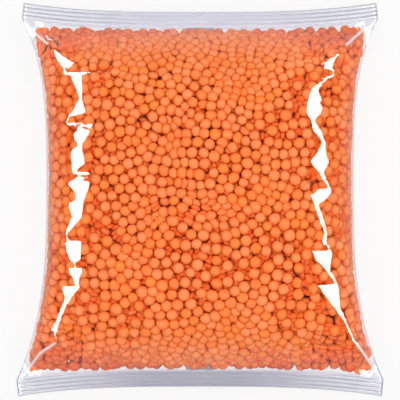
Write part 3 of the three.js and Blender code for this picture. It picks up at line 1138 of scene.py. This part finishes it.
# %% [markdown]
# Each piece rides on the part's one body and stands for the imported solid, which is hidden.

# %% Pieces in the frame
for name, piece in pieces.items():
    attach(piece, "root")
    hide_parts(NODE)
print("pieces:", ", ".join(pieces))

# %% [markdown]
# The studio's floor is white and glows a little, as a light table does, so the bag hardly casts a shadow. A
# brighter lamp could wash the shadow out too, but it would bleach the lentils.

# %% Floor
FLOOR_SIZE = 3.0
FLOOR_GLOW = 0.83
FLOOR_PAINT = (0.12, 0.12, 0.12, 1)


def studio_floor():
    half = FLOOR_SIZE / 2
    corners = np.array([(-half, -half, 0), (half, -half, 0), (half, half, 0), (-half, half, 0)])
    floor = piece_from_arrays("floor", corners, np.array([[0, 1, 2, 3]]))
    material, nodes = new_material("light_table")
    output = add_node(nodes, "OutputMaterial")
    table = add_node(nodes, "BsdfPrincipled", {"Base Color": FLOOR_PAINT, "Emission Strength": FLOOR_GLOW})
    set_inputs(table, {"Roughness": 0.9, "Specular IOR Level": 0, "Emission Color": (1, 1, 1, 1)})
    join(table, "BSDF", output, "Surface")
    floor.data.materials.append(material)
    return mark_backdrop(floor)


studio_floor()
print("floor, m:", FLOOR_SIZE)

# %% [markdown]
# The lights: a large soft one overhead that the film doesn't mirror, and two long bright panels at the sides
# that only the film mirrors. Real soft boxes do both jobs, but apart, the first can be set for the lentils'
# colour and the panels for the white patches.

# %% Lights
PANEL_DISTANCE = 0.9
PANEL_FROM_UPRIGHT = math.radians(50)
PANEL_WIDTH = 0.25
PANEL_LENGTH = 8.0
PANEL_RADIANCE = 46.0
OVERHEAD_HEIGHT = 1.4
OVERHEAD_SIZE = 2.4
OVERHEAD_RADIANCE = 2.45


def panel_light(name, place, turn, size, radiance):
    light = bpy.data.lights.new(name, "AREA")
    light.shape = "RECTANGLE"
    light.size, light.size_y = size
    light.energy = radiance * size[0] * size[1] * math.pi
    lamp = in_scene(name, light)
    lamp.location = place
    lamp.rotation_euler = turn
    return lamp


for name, sign in (("panel_right", 1), ("panel_left", -1)):
    across = sign * PANEL_DISTANCE * math.sin(PANEL_FROM_UPRIGHT)
    up = PANEL_DISTANCE * math.cos(PANEL_FROM_UPRIGHT)
    turn = (0, sign * PANEL_FROM_UPRIGHT, 0)
    panel = panel_light(name, (across, 0, up), turn, (PANEL_WIDTH, PANEL_LENGTH), PANEL_RADIANCE)
    panel.visible_diffuse = False
square = (OVERHEAD_SIZE, OVERHEAD_SIZE)
overhead = panel_light("overhead", (0, 0, OVERHEAD_HEIGHT), (0, 0, 0), square, OVERHEAD_RADIANCE)
overhead.visible_glossy = False
print("panels' radiance:", PANEL_RADIANCE)

# %% [markdown]
# The sky is dark above and bright near the horizon, so the film is clear where it faces up and milky along
# its sides. It is darker beyond the bottom seal, where the photograph's film mirrors less.

# %% Sky
SKY_ABOVE = 0.02
HORIZON_BAND = 0.35
SKY_AT_HORIZON = 0.7
SKY_TOWARDS_BOTTOM = 0.4


def studio_sky():
    world = bpy.data.worlds.new("studio_sky")
    bpy.context.scene.world = world
    world.use_nodes = True
    nodes = world.node_tree.nodes
    nodes.clear()
    output = add_node(nodes, "OutputWorld")
    sky = add_node(nodes, "Background")
    where = add_node(nodes, "TexCoord")
    split = add_node(nodes, "SeparateXYZ")
    height = add_node(nodes, "MapRange", {"From Max": HORIZON_BAND})
    set_inputs(height, {"To Min": SKY_AT_HORIZON, "To Max": SKY_ABOVE})
    along = add_node(nodes, "MapRange", {"From Min": -1.0, "From Max": 0.0, "To Min": SKY_TOWARDS_BOTTOM})
    height.interpolation_type = "SMOOTHSTEP"
    strength = math_node(nodes, "MULTIPLY")
    join(where, "Generated", split, "Vector")
    join(split, "Z", height, "Value")
    join(split, "Y", along, "Value")
    join(height, "Result", strength, 0)
    join(along, "Result", strength, 1)
    join(strength, "Value", sky, "Strength")
    join(sky, "Background", output, "Surface")


studio_sky()
print("sky above and at the horizon:", SKY_ABOVE, SKY_AT_HORIZON)

# %% [markdown]
# The camera looks down on the shown side, from the viewpoint that the facets were made for. Its lens follows
# from how wide a stretch of the bag's plane fills the picture.

# %% Camera
PICTURE_WIDTH = 0.1725
SENSOR_WIDTH = 36.0

camera_data = bpy.data.cameras.new("camera")
camera_data.sensor_width = SENSOR_WIDTH
camera_data.lens = SENSOR_WIDTH * CAMERA_DISTANCE / PICTURE_WIDTH
camera = in_scene("camera", camera_data)
camera.location = VIEWPOINT
camera.rotation_euler = (CAMERA_TILT, 0, 0)
bpy.context.scene.camera = camera
bpy.context.scene.view_settings.view_transform = "Standard"
print("lens, mm:", round(camera_data.lens, 1))
